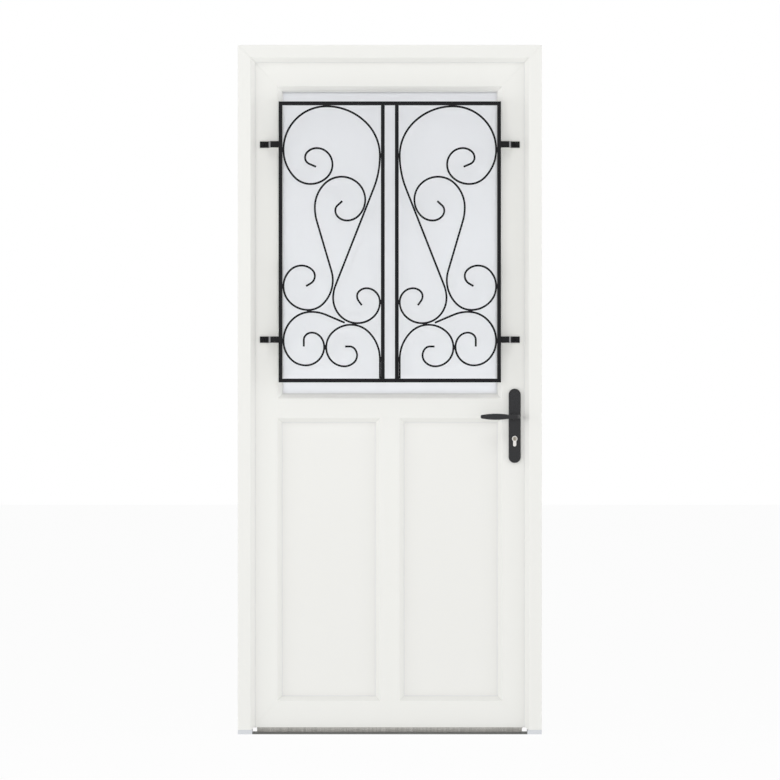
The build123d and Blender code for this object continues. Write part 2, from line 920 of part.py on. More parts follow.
# Lugs from the grille to the stiles
with BuildPart() as grille_lugs:
    mid_y = (grille_front + grille_back) / 2
    for side in (-1, 1):
        for z in (grille_z - lug_z, grille_z + lug_z):
            bend_x = grille_x + lug_bend
            with BuildSketch(Plane.XY.offset(z - lug_h / 2)):
                with BuildLine():
                    Polyline(
                        (side * grille_x, mid_y - lug_t / 2),
                        (side * bend_x, mid_y - lug_t / 2),
                        (side * (bend_x + lug_slope), leaf_out - lug_t),
                        (side * (bend_x + lug_tab), leaf_out - lug_t),
                        (side * (bend_x + lug_tab), leaf_out),
                        (side * (bend_x + lug_slope - lug_t), leaf_out),
                        (side * (bend_x - lug_t), mid_y + lug_t / 2),
                        (side * grille_x, mid_y + lug_t / 2),
                        close=True,
                    )
                make_face()
            extrude(amount=lug_h)
save(grille_lugs, "grille_lugs")


# Handle plates
def handle_plate(y0, y1):
    with BuildPart() as plate:
        with BuildSketch(Plane.XZ.offset(-y0)):
            with Locations((handle_x, handle_z)):
                SlotOverall(handle_h, handle_w, rotation=90)
            with Locations((handle_x, lever_z)):
                Circle(journal_d / 2 + fit, mode=Mode.SUBTRACT)
            with Locations((handle_x, cylinder_z)):
                Circle(cylinder_d / 2 + cylinder_clear, mode=Mode.SUBTRACT)
            with Locations((handle_x, cylinder_z + cylinder_d / 2 - cylinder_h / 2)):
                SlotOverall(
                    cylinder_h + 2 * cylinder_clear,
                    cylinder_web + 2 * cylinder_clear,
                    rotation=90,
                    mode=Mode.SUBTRACT,
                )
        extrude(amount=y0 - y1)
        front = plate.faces().sort_by(Axis.Y)[-1 if y1 > y0 else 0]
        chamfer(front.outer_wire().edges(), handle_edge)
    return plate


save(handle_plate(leaf_out, plate_out), "outer_plate")
save(handle_plate(leaf_in, plate_in), "inner_plate")


def lever(plate_y, way):
    """Lever on its journal. way is -1 outside and 1 in the room."""
    grip_y = plate_y + way * lever_reach
    grip_in = grip_y - way * lever_t / 2
    foot_y = plate_y - way * handle_t
    tip_x = handle_x - lever_tip
    heel_x = handle_x + lever_heel
    neck = lever_neck_h / 2
    with BuildPart() as made:
        with BuildSketch(Plane.XZ.offset(-grip_y - lever_t / 2)):
            with BuildLine():
                top = ThreePointArc(
                    (handle_x - neck_d, lever_z + neck),
                    (handle_x - lever_belly, lever_z + lever_belly_h / 2),
                    (tip_x, lever_z + lever_tip_h / 2),
                )
                low = ThreePointArc(
                    (handle_x - neck_d, lever_z - neck),
                    (handle_x - lever_belly, lever_z - lever_belly_h / 2),
                    (tip_x, lever_z - lever_tip_h / 2),
                )
                Line(top @ 1, low @ 1)
                Polyline(top @ 0, (heel_x, lever_z + neck), (heel_x, lever_z - neck), low @ 0)
            outline = make_face()
            ends = outline.vertices().sort_by(Axis.X)
            fillet(ends[:2], lever_tip_r)
            fillet(ends[-2:], lever_edge)
        extrude(amount=lever_t)
        chamfer(made.faces().sort_by(Axis.Y)[0 if way < 0 else -1].edges(), lever_edge)
        front_y = grip_in + way * lever_t
        with BuildSketch(Plane.XY.offset(lever_z - neck)):
            with Locations((heel_x - elbow_r / 2, front_y - way * elbow_r / 2)):
                Rectangle(elbow_r, elbow_r)
            with Locations((heel_x - elbow_r, front_y - way * elbow_r)):
                Circle(elbow_r, mode=Mode.SUBTRACT)
        extrude(amount=2 * neck, mode=Mode.SUBTRACT)
        with BuildSketch(Plane.XZ.offset(-plate_y)):
            with Locations((handle_x, lever_z)):
                Circle(neck_d / 2)
        extrude(amount=plate_y - grip_in)
        with BuildSketch(Plane.XZ.offset(-foot_y)):
            with Locations((handle_x, lever_z)):
                Circle(journal_d / 2)
        extrude(amount=-way * handle_t)
        with BuildSketch(Plane.XZ.offset(-foot_y)):
            with Locations((handle_x, lever_z)):
                Rectangle(spindle_side + 2 * fit, spindle_side + 2 * fit)
        extrude(amount=-way * (handle_t + lever_reach / 2), mode=Mode.SUBTRACT)
    return made


save(lever(plate_out, -1), "outer_lever")
save(lever(plate_in, 1), "inner_lever")

with BuildPart() as spindle:
    with BuildSketch(Plane.XZ.offset(-plate_in - lever_reach / 2 + 1)):
        with Locations((handle_x, lever_z)):
            Rectangle(spindle_side, spindle_side)
    extrude(amount=plate_in - plate_out + lever_reach - 2)
save(spindle, "spindle")

# Profile cylinder and its plug
cylinder_out = plate_out - cylinder_proud
with BuildPart() as cylinder_body:
    with BuildSketch(Plane.XZ.offset(-cylinder_out)):
        with Locations((handle_x, cylinder_z)):
            Circle(cylinder_d / 2)
        with Locations((handle_x, cylinder_z + cylinder_d / 2 - cylinder_h / 2)):
            SlotOverall(cylinder_h, cylinder_web, rotation=90)
    extrude(amount=-(plate_in + cylinder_proud - cylinder_out))
    with BuildSketch(Plane.XZ.offset(-cylinder_out)):
        with Locations((handle_x, cylinder_z)):
            Circle(plug_d / 2 + fit)
    extrude(amount=-plug_l, mode=Mode.SUBTRACT)
save(cylinder_body, "cylinder_body")

with BuildPart() as key_plug:
    with BuildSketch(Plane.XZ.offset(-cylinder_out)):
        with Locations((handle_x, cylinder_z)):
            Circle(plug_d / 2)
    extrude(amount=-(plug_l - seal_clear))
    with BuildSketch(Plane.XZ.offset(-cylinder_out)):
        with Locations((handle_x, cylinder_z)):
            Rectangle(key_slot_w, key_slot_h)
    extrude(amount=-key_slot_l, mode=Mode.SUBTRACT)
save(key_plug, "key_plug")
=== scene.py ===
# %% [markdown]
# # A white front door with a wrought-iron grille
# The door arrives as a finished CAD model: frame, leaf, glass, panels, grille, handles and lock, each
# as its own object in metres. Nothing here moves or resizes those objects. This lesson gives them
# their finishes, adds the small things that a CAD model leaves out, and lights and frames the door
# as a shop would photograph it.

# %% Load the door
import math

import bpy
import numpy as np
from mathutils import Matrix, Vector
from mathutils.bvhtree import BVHTree


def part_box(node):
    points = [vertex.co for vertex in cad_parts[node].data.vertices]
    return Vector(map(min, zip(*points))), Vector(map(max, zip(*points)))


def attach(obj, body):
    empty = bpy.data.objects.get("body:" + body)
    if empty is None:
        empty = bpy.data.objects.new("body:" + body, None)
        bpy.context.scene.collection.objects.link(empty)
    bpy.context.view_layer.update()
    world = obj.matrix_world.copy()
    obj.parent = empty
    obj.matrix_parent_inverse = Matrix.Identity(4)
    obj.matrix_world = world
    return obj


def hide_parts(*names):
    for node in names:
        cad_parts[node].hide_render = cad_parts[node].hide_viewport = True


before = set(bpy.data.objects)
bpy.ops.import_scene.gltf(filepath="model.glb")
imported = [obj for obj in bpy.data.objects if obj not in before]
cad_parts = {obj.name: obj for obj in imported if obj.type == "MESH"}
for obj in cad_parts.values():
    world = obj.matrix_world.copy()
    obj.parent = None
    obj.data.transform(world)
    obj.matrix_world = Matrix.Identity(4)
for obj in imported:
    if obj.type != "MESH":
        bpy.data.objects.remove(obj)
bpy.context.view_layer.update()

# %% [markdown]
# ## Camera
# The photograph looks straight at the outside face, and the lines of the door stay parallel in it,
# so the camera stands far off, level with the picture's middle, with a long lens. The picture is
# 780 pixels across, and one pixel covers 3.177 mm on the face of the frame. The lens follows from
# those two and the distance.

# %% Camera
PIXELS = 780
PIXEL = 0.003177                 # metres on the frame's face
AXIS_X, AXIS_Z = 389.8, 734.3    # pixel column of the door's middle, and row of its foot
STAND_OFF = 20.0                 # metres from the camera to that face

face_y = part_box("frame_left_jamb")[0][1]
centre = PIXELS / 2
eye = Vector(((centre - AXIS_X) * PIXEL, face_y - STAND_OFF, (AXIS_Z - centre) * PIXEL))
camera = bpy.data.cameras.new("camera")
camera.sensor_width = 36
camera.lens = camera.sensor_width * STAND_OFF / (PIXELS * PIXEL)
camera_object = bpy.data.objects.new("camera", camera)
camera_object.location = eye
camera_object.rotation_euler = (math.radians(90), 0, 0)
bpy.context.scene.collection.objects.link(camera_object)
bpy.context.scene.camera = camera_object
print("lens", round(camera.lens, 1), "mm, camera height", round(eye.z, 3), "m")

# %% [markdown]
# ## A short way to write materials
# A material is a graph of nodes, and a graph is hard to read as text. Two small classes make it
# read like arithmetic. `Flow` stands for a number that runs through the graph: adding or
# multiplying two of them adds a Math node. `Finish` is a material under construction, and its one
# method `node` makes every other kind of node.

# %% Materials as expressions
class Flow:
    """A number that comes out of a node. Arithmetic on it adds Math nodes."""

    def __init__(self, finish, socket):
        self.finish, self.socket = finish, socket

    def maths(self, operation, *values):
        return self.finish.node("ShaderNodeMath", {"operation": operation}, *values)

    def __add__(self, other):
        return self.maths("ADD", self, other)

    def __sub__(self, other):
        return self.maths("SUBTRACT", self, other)

    def __rsub__(self, other):
        return self.maths("SUBTRACT", other, self)

    def __mul__(self, other):
        return self.maths("MULTIPLY", self, other)

    def __gt__(self, other):
        return self.maths("GREATER_THAN", self, other)

    def __lt__(self, other):
        return self.maths("LESS_THAN", self, other)

    def __abs__(self):
        return self.maths("ABSOLUTE", self)

    __radd__ = __add__


class Finish:
    """A Principled material under construction, with sockets set by name."""

    def __init__(self, name, **sockets):
        self.material = bpy.data.materials.new(name)
        self.material.use_nodes = True
        self.tree = self.material.node_tree
        self.shader = self.tree.nodes["Principled BSDF"]
        for socket, value in sockets.items():
            self.shader.inputs[socket.replace("_", " ")].default_value = value

    def node(self, kind, settings=None, *values, out=0, **named):
        """Adds a node: its settings first, then the values or links of its sockets."""
        made = self.tree.nodes.new(kind)
        for key, value in (settings or {}).items():
            setattr(made, key, value)
        for key, value in [*enumerate(values), *named.items()]:
            socket = made.inputs[key.replace("_", " ") if isinstance(key, str) else key]
            self.put(socket, value)
        return Flow(self, made.outputs[out])

    def put(self, socket, value):
        if isinstance(value, Flow):
            self.tree.links.new(value.socket, socket)
        else:
            socket.default_value = value

    def feed(self, **sockets):
        """Links flows to the shader's own sockets."""
        for socket, value in sockets.items():
            self.put(self.shader.inputs[socket.replace("_", " ")], value)

    def place(self, scale=(1, 1, 1)):
        """Object coordinates, stretched by scale."""
        here = self.node("ShaderNodeTexCoord", out="Object")
        return self.node("ShaderNodeMapping", None, Vector=here, Scale=scale)

    def axes(self):
        """The three object coordinates, in metres, as numbers."""
        here = self.node("ShaderNodeTexCoord", out="Object")
        split = self.node("ShaderNodeSeparateXYZ", None, Vector=here).socket.node
        return [Flow(self, split.outputs[axis]) for axis in "XYZ"]

    def noise(self, scale, detail=3.0, stretch=(1, 1, 1), roughness=0.5):
        """Noise from 0 to 1, with about `scale` lumps to the metre."""
        return self.node(
            "ShaderNodeTexNoise", None,
            Vector=self.place(stretch), Scale=scale, Detail=detail, Roughness=roughness,
        )

    def blend(self, share, first, second):
        """Colour between first and second."""
        mix = self.node("ShaderNodeMix", {"data_type": "RGBA"}, out="Result").socket.node
        colours = [s for s in mix.inputs if s.type == "RGBA"]
        self.put(mix.inputs["Factor"], share)
        for socket, colour in zip(colours, (first, second)):
            self.put(socket, colour if isinstance(colour, Flow) else (*colour, 1))
        return Flow(self, [s for s in mix.outputs if s.type == "RGBA"][0])

    def bump(self, height, depth):
        """Normal from a height that runs from 0 to 1 and a depth in metres."""
        self.feed(Normal=self.node("ShaderNodeBump", None, Height=height, Distance=depth))


def dress(finish, *names):
    """Gives CAD nodes a finish through their own material slots."""
    for name in names:
        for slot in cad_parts[name].material_slots:
            slot.material = finish.material


print("materials ready")

# %% [markdown]
# ## White uPVC
# The frame and the leaf are extruded plastic, white with a touch of warm grey and a soft gloss.
# Looked at closely the skin has a faint orange peel from the die, drawn out along the bar. The
# corners are welded and cleaned off, which leaves a fine groove on the mitre. The groove follows
# from the corner's place: on it, the distances from the corner in height and in width keep to one
# ratio. The slopes round the glass are painted a lighter white than the flat faces: painted light
# that lifts the shade falling in the recess round the glass.

# %% White uPVC
UPVC = (0.862, 0.862, 0.832)
UPVC_SHADE = (0.835, 0.835, 0.803)
# painted light: a lighter white for the shaded slopes round the glass
SLOPE_PAINTED_LIGHT = (0.955, 0.955, 0.925)
PANEL = (0.852, 0.850, 0.822)
PANEL_SHADE = (0.830, 0.828, 0.800)
GROOVE = 0.0005                  # half width of the groove on a mitre
GROOVE_DEPTH = 0.0002
LEAF_SLOPE = 98 / 93             # height of a rail over the width of a stile
WINDOW = (0.357, 1.067, 2.059)   # half width, bottom and top of the slopes round the glass


def upvc(name, along=(1, 1, 1), colour=UPVC, shade=UPVC_SHADE, corners=(), window=None):
    """White plastic whose orange peel is drawn out along the bar. A corner is (x, z, way, slope),
    with way 1 for the top and -1 for the foot: on its mitre, the distance from z is slope times the
    distance inside x. In the window (half width, bottom, top) the plastic is painted a lighter white,
    painted light that lifts the shade in the recess round the glass."""
    finish = Finish(name, IOR=1.46)
    drift = finish.noise(1.7, 2.0)
    peel = finish.noise(420.0, 2.0, along)
    speck = finish.noise(60.0, 4.0)
    x, _, z = finish.axes()
    skin_colour = finish.blend(drift * 0.7 + speck * 0.2, colour, shade)
    if window:
        wide, bottom, top = window
        inside = (abs(x) < wide) * (z > bottom) * (z < top)
        # painted light: the slopes round the glass are painted lighter to lift the shade in their
        # recess
        skin_colour = finish.blend(inside, skin_colour, SLOPE_PAINTED_LIGHT)
    finish.feed(Base_Color=skin_colour, Roughness=0.30 + speck * 0.10)
    skin = peel * 0.3
    for corner_x, corner_z, way, slope in corners:
        from_mitre = abs((z - corner_z) * way + (corner_x - abs(x)) * slope)
        skin = skin - (from_mitre < GROOVE)
    finish.bump(skin, GROOVE_DEPTH)
    return finish


_, frame_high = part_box("frame_head")
stile_low, stile_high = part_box("leaf_hinge_stile")
rail_low, rail_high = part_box("leaf_top_rail")
leaf_edge = -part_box("leaf_bottom_rail")[0].x
frame_corners = [(frame_high.x, frame_high.z, 1, 1)]
leaf_corners = [
    (-rail_low.x, rail_high.z, 1, LEAF_SLOPE),
    (leaf_edge, stile_low.z, -1, LEAF_SLOPE),
]
BARS = {
    "upright": ["leaf_hinge_stile", "leaf_lock_stile", "mullion"],
    "level": ["leaf_top_rail", "leaf_bottom_rail", "mid_rail"],
}
FINE = {"upright": (1, 1, 0.12), "level": (0.12, 1, 1)}     # draws the peel out along the bar
for way, names in BARS.items():
    dress(upvc(f"leaf_upvc_{way}", FINE[way], corners=leaf_corners, window=WINDOW), *names)
jamb_skin = upvc("frame_upvc_upright", FINE["upright"], corners=frame_corners)
head_skin = upvc("frame_upvc_level", FINE["level"], corners=frame_corners)
dress(jamb_skin, "frame_left_jamb", "frame_right_jamb")
dress(head_skin, "frame_head")
dress(upvc("bead_upvc"), "glass_beads", "panel_beads_left", "panel_beads_right")
dress(upvc("panel_skin", colour=PANEL, shade=PANEL_SHADE), "panel_left", "panel_right")
print("mitres at", [tuple(round(v, 3) for v in corner) for corner in frame_corners + leaf_corners])

# %% [markdown]
# ## Black iron
# The grille is mild steel bar under satin black paint. The paint follows the mill skin of the bar,
# which is slightly pebbled. On the bends of the lugs, which lie at one distance from the door's
# middle, a narrow light grey stripe is painted in: a painted highlight where the bend catches light.

# %% Wrought iron
LUG_BEND = 0.382                 # from the door's middle to the bend of a lug
HIGHLIGHT_HALF_WIDTH = 0.0028               # half width of the painted highlight stripe
BLACK = (0.002, 0.002, 0.003)
BLACK_CLOUD = (0.005, 0.005, 0.0065)
# painted highlight along the bends of the lugs
BEND_PAINTED_HIGHLIGHT = (0.30, 0.30, 0.31)


def black_iron(name, roughness, spread, bend=None):
    """Black paint on pebbled iron, with a painted highlight where |x| lies a few millimetres from the
    bend.
    """
    finish = Finish(name, IOR=1.30)
    pebble = finish.noise(260.0, 4.0, roughness=0.6)
    colour = finish.blend(finish.noise(14.0, 3.0), BLACK, BLACK_CLOUD)
    if bend:
        x, _, _ = finish.axes()
        # painted highlight: a light stripe along the bend of each lug
        painted_highlight = (abs(abs(x) - bend) < HIGHLIGHT_HALF_WIDTH) * (0.75 + pebble * 0.25)
        colour = finish.blend(painted_highlight, colour, BEND_PAINTED_HIGHLIGHT)
    finish.feed(Base_Color=colour, Roughness=roughness + pebble * spread)
    finish.bump(pebble, 0.00025)
    return finish


iron = black_iron("black_iron", 0.34, 0.22)
IRON_NODES = [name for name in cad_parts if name.startswith("grille") or "scroll" in name]
dress(iron, *IRON_NODES)
dress(black_iron("bent_iron", 0.36, 0.20, LUG_BEND), "grille_lugs")
print("iron on", len(IRON_NODES), "nodes")

# %% [markdown]
# ## Glass, gaskets and spacer
# The photograph shows nothing through the glass but a pale grey blue that is a little darker towards
# the top, so the outer pane is satin glass. It lets the light of the room through and scatters it,
# which a rough glass does. It transmits somewhat less than all, and the pale diffuse rest stands for
# the etched face. Its colour is painted darker towards the top: painted shade from the rail above.

# %% Glass
SATIN_LOW = (0.94, 0.95, 0.972)
# painted shade at the top of the pane
SATIN_PAINTED_SHADE = (0.835, 0.842, 0.865)

frosted = Finish("satin_glass", IOR=1.2, Transmission_Weight=0.85)
grain = frosted.noise(900.0, 2.0)
pane_low, pane_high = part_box("outer_pane")
_, _, height = frosted.axes()
# painted shade: the pane's colour turns darker towards the top, where the rail above shades it
rise = (height - pane_low.z) * (1 / (pane_high.z - pane_low.z))
cloudy = rise + frosted.noise(1.5) * 0.2 - 0.1
frosted.feed(
    Base_Color=frosted.blend(cloudy, SATIN_LOW, SATIN_PAINTED_SHADE),
    Roughness=0.55 + grain * 0.16,
)
frosted.bump(grain, 0.00005)
dress(frosted, "outer_pane")

clear = Finish("clear_glass", Base_Color=(0.98, 0.99, 0.99, 1), IOR=1.45, Transmission_Weight=1.0)
film = clear.noise(5.0, 3.0)
clear.feed(Roughness=0.01 + film * 0.03)
dress(clear, "inner_pane")

spacer = Finish("spacer_bar", Metallic=1.0, Base_Color=(0.6, 0.6, 0.6, 1))
spacer.feed(Roughness=0.35 + spacer.noise(300.0) * 0.15)
dress(spacer, "glass_spacer")

rubber = Finish("grey_seal", IOR=1.5)
chalk = rubber.noise(80.0, 4.0)
rubber.feed(
    # partly the seals' own light grey, partly painted light that lifts the shade in the joints they sit
    # in
    Base_Color=rubber.blend(chalk, (0.78, 0.78, 0.77), (0.84, 0.84, 0.83)),
    Roughness=0.62 + chalk * 0.15,
)
rubber.bump(rubber.noise(1500.0, 1.0), 0.00004)
dress(rubber, "frame_seal", "leaf_seal", "glazing_gaskets")
print("glass and rubber ready")

# %% [markdown]
# ## Metals of the handle, lock and threshold
# The handles are cast aluminium with a nearly black powder coat, which is finely grained. The
# cylinder is nickel with a dull brass plug, the lock parts are zinc plated, and the threshold is
# extruded aluminium with fine lines along its length. Its dark grey is painted shade for the shadow
# it lies in at the foot of the leaf. The hinges are coated white, and the caps on the frame's feet
# are grey plastic.

# %% Metals
handle_paint = Finish("anthracite_coat", IOR=1.38, Coat_Weight=0.3, Coat_Roughness=0.2)
powder = handle_paint.noise(1400.0, 2.0)
handle_paint.feed(
    Base_Color=handle_paint.blend(powder, (0.006, 0.006, 0.0075), (0.012, 0.0123, 0.0145)),
    Roughness=0.24 + powder * 0.08,
)
handle_paint.bump(powder, 0.00008)
dress(handle_paint, "outer_plate", "inner_plate", "outer_lever", "inner_lever")

nickel = Finish("satin_nickel", Metallic=1.0)
drawn = nickel.noise(500.0, 2.0, (1, 0.1, 1))
nickel.feed(
    Base_Color=nickel.blend(drawn, (0.80, 0.785, 0.755), (0.90, 0.885, 0.86)),
    Roughness=0.16 + drawn * 0.12,
)
dress(nickel, "cylinder_body")

plug = Finish("brass_plug", Metallic=1.0)
tarnish = plug.noise(700.0, 2.0)
plug.feed(
    Base_Color=plug.blend(tarnish, (0.34, 0.31, 0.27), (0.52, 0.48, 0.41)),
    Roughness=0.30 + tarnish * 0.15,
)
dress(plug, "key_plug")

zinc = Finish("zinc_plate", Metallic=1.0)
spangle = zinc.noise(90.0, 3.0)
zinc.feed(
    Base_Color=zinc.blend(spangle, (0.52, 0.53, 0.52), (0.66, 0.66, 0.63)),
    Roughness=0.30 + spangle * 0.18,
)
dress(zinc, "lock_strip", "lock_bolts", "strike_keeps", "spindle")

mill = Finish("mill_aluminium", Metallic=1.0)
lines = mill.noise(900.0, 3.0, (0.01, 1, 1))
mill.feed(
    # painted shade: the aluminium is far darker than bare metal, for the shadow at the foot of the leaf
    Base_Color=mill.blend(lines, (0.12, 0.123, 0.116), (0.18, 0.183, 0.176)),
    Roughness=0.35 + lines * 0.2,
)
mill.bump(lines, 0.00008)
dress(mill, "threshold")

hinge_paint = upvc("white_hinge_coat", colour=(0.82, 0.825, 0.80), shade=(0.78, 0.785, 0.76))
dress(hinge_paint, "hinge_frame_parts", "hinge_leaf_parts")

cap_plastic = Finish("grey_cap_plastic", IOR=1.5)
mould = cap_plastic.noise(700.0, 2.0)
cap_plastic.feed(
    Base_Color=cap_plastic.blend(cap_plastic.noise(9.0), (0.64, 0.66, 0.685), (0.69, 0.71, 0.735)),
    Roughness=0.48 + mould * 0.12,
)
cap_plastic.bump(mould, 0.00005)
dress(cap_plastic, "foot_cap_left", "foot_cap_right")
print("metals ready")

# %% [markdown]
# ## Surfaces from formulas
# The new pieces are worked out as whole arrays. A surface is a grid of points: `surface` joins each
# row to the next, closes the rows into rings and caps both ends. A turned piece is a profile of
# radius and height carried round an axis. `gather` makes one piece of many small ones.

# %% Surface helpers
TURN_STEPS = 24
SMOOTH_ANGLE = 35                # degrees; faces that meet at less are shaded as one


def piece_from(name, points, faces, material, body):
    """One object from points and faces, which moves with a body."""
    mesh = bpy.data.meshes.new(name)
    mesh.from_pydata(points.tolist(), [], faces)
    mesh.materials.append(material)
    piece = bpy.data.objects.new(name, mesh)
    bpy.context.scene.collection.objects.link(piece)
    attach(piece, body)
    return piece


def surface(name, points, finish, body):
    """Closed skin from a grid of points (rows, columns, 3)."""
    rows, columns = points.shape[:2]
    index = np.arange(rows * columns).reshape(rows, columns)
    beside = np.roll(index, -1, axis=1)
    quads = np.stack([index[:-1], beside[:-1], beside[1:], index[1:]], axis=-1).reshape(-1, 4)
    faces = [*quads.tolist(), index[0, ::-1].tolist(), index[-1].tolist()]
    return piece_from(name, points.reshape(-1, 3), faces, finish.material, body)


def gather(name, parts, body):
    """Joins pieces of one material into one object."""
    material = parts[0].data.materials[0]
    points, faces, offset = [], [], 0
    for part in parts:
        mesh = part.data
        flat = np.empty(len(mesh.vertices) * 3, np.float32)
        mesh.vertices.foreach_get("co", flat)
        points.append(flat.reshape(-1, 3))
        faces += [[v + offset for v in face.vertices] for face in mesh.polygons]
        offset += len(mesh.vertices)
        bpy.data.objects.remove(part)
    return piece_from(name, np.concatenate(points), faces, material, body)


def smooth(piece):
    """Rounds the shading of blunt edges."""
    piece.data.shade_smooth()
    piece.data.set_sharp_from_angle(angle=math.radians(SMOOTH_ANGLE))


def turned(name, profile, at, axis, finish, body):
    """Profile of (radius, height) carried round an axis. Heights count from at."""
    axis = np.array(Vector(axis).normalized())
    side = np.array(Vector(axis).orthogonal().normalized())
    third = np.cross(axis, side)
    turn = np.linspace(0, 2 * np.pi, TURN_STEPS, endpoint=False)
    round_it = np.cos(turn)[:, None] * side + np.sin(turn)[:, None] * third
    radius, height = np.array(profile, float).T
    points = np.array(at) + height[:, None, None] * axis + radius[:, None, None] * round_it
    return surface(name, points, finish, body)


print("surface helpers ready")

# %% [markdown]
# ## Softened edges
# No edge of a real door is a knife edge. Extruded plastic leaves the die with a radius of about
# half a millimetre, and it is that radius that catches the light as a thin bright line. A Weld
# modifier first joins the loose triangles of the CAD mesh, and a Bevel then rounds what is sharp.
# The cast levers are the roundest. The lock stile keeps its edges: its lock holes leave long thin
# triangles in its face, and a bevel would draw a line along one of them.

# %% Softened edges
TINY = 0.00001                   # points closer than this are one point
SHARP = 30                       # degrees; edges blunter than this stay as they are


def soften(radius, *names):
    """Rounds the sharp edges of CAD nodes."""
    for name in names:
        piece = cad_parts[name]
        weld = piece.modifiers.new("weld", "WELD")
        weld.merge_threshold = TINY
        edge = piece.modifiers.new("soft edge", "BEVEL")
        edge.width = radius
        edge.segments = 2
        edge.limit_method = "ANGLE"
        edge.angle_limit = math.radians(SHARP)


soften(0.0008, "frame_left_jamb", "frame_right_jamb", "frame_head", "mid_rail", "mullion")
soften(0.0008, "leaf_hinge_stile", "leaf_top_rail", "leaf_bottom_rail")
soften(0.0005, "threshold", "foot_cap_left", "foot_cap_right")
soften(0.0005, *[name for name in IRON_NODES if "bar" in name], "grille_lugs")
soften(0.0022, "outer_lever", "inner_lever")
print("edges softened")

# %% [markdown]
# ## Welds of the grille
# Where two scrolls touch, the smith runs a short weld into the groove between them, and the lugs
# are welded to the side bars. The places need no list: a weld belongs wherever a scroll comes
# within about a millimetre of another or of a bar, which the meshes themselves can say. Each weld
# is a lump that is long along the seam, thin across it and slightly rippled.

# %% Welds
NEAR = 0.0011                    # air that a weld closes
APART = 0.03                     # touches closer than this are one weld
SEAM = (0.0075, 0.0022)          # half length and half width of a weld between scrolls
SEAM_INSET = 0.0004              # how far that weld stays inside the faces of the scrolls
LUG_SEAM = (0.0105, 0.0022, 0.0042)     # half length, width and depth
LUG_SEAM_OFF = 0.0005            # from the side bar to the middle of a lug's weld
LUG_HALF = 0.01                  # half the height of a lug
TIP = 0.02                       # angle from the tip of a weld to its first ring
RINGS, ROUND = 12, 14            # rings of points along a weld, and points in a ring
RIPPLES = 9
RIPPLE_HEIGHT = 0.05             # share of the weld's width


def tree_of(name):
    """Search tree and corners of a CAD node's mesh."""
    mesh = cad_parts[name].data
    corners = [vertex.co for vertex in mesh.vertices]
    return BVHTree.FromPolygons(corners, [tuple(face.vertices) for face in mesh.polygons]), corners


def touches(first, second):
    """Places where two nodes nearly touch, with the direction across the gap."""
    other, _ = tree_of(second)
    _, corners = tree_of(first)
    found = []
    for corner in corners:
        spot, _, _, distance = other.find_nearest(corner)
        if distance < NEAR:
            across = Vector((spot.x - corner.x, 0, spot.z - corner.z))
            found.append((distance, (corner + spot) / 2, across))
    kept = []
    for _, spot, across in sorted(found, key=lambda one: one[0]):
        if all(math.hypot(spot.x - k.x, spot.z - k.z) > APART for k, _ in kept):
            kept.append((spot, across.normalized() if across.length > TINY else Vector((1, 0, 0))))
    return kept


def lump(spot, across, size):
    """Weld: an ellipsoid of half lengths (along the seam, across it, in depth), with ripples."""
    along = Vector((-across.z, 0, across.x))
    tall = np.linspace(TIP, np.pi - TIP, RINGS)
    turn = np.linspace(0, 2 * np.pi, ROUND, endpoint=False)
    wide = np.sin(tall)[:, None] * (1 + RIPPLE_HEIGHT * np.sin(RIPPLES * tall))[:, None]
    points = (
        np.array(spot)
        + np.cos(tall)[:, None, None] * size[0] * np.array(along)
        + (wide * np.cos(turn))[..., None] * size[1] * np.array(across)
        + (wide * np.sin(turn))[..., None] * size[2] * np.array((0, 1, 0))
    )
    return surface("weld", points, iron, "leaf")


grille_low, grille_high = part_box("upper_big_scrolls")
grille_middle = (grille_low.y + grille_high.y) / 2
grille_half = (grille_high.y - grille_low.y) / 2
SCROLLS = [name for name in IRON_NODES if "scroll" in name]
SIDES = ["grille_bar_left", "grille_bar_right", "grille_bar_top"]
SIDES += ["grille_inner_bar_left", "grille_inner_bar_right"]
pairs = [(a, b) for i, a in enumerate(SCROLLS) for b in SCROLLS[i + 1:]]
pairs += [(a, b) for a in SCROLLS for b in SIDES]
welds = []
for first, second in pairs:
    for spot, across in touches(first, second):
        place = Vector((spot.x, grille_middle, spot.z))
        welds.append(lump(place, across, (*SEAM, grille_half - SEAM_INSET)))
scroll_welds = len(welds)
lug_low, lug_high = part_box("grille_lugs")
lug_levels = (lug_low.z + LUG_HALF, lug_high.z - LUG_HALF)
bar_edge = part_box("grille_bar_right")[1].x
for side in (-1, 1):
    for z in lug_levels:
        place = Vector((side * (bar_edge + LUG_SEAM_OFF), grille_middle, z))
        welds.append(lump(place, Vector((side, 0, 0)), LUG_SEAM))
weld_piece = gather("grille_welds", welds, "leaf")
smooth(weld_piece)
print(scroll_welds, "welds on the scrolls and", len(welds) - scroll_welds, "on the lugs")

# %% [markdown]
# ## Screws
# Round-headed screws hold the grille to the stiles, one in each lug. On the room side two
# countersunk screws hold the handle plate, seven the lock strip and two each keep, and the hinges
# have four each. All are turned from a profile, with a round recess for the driver.

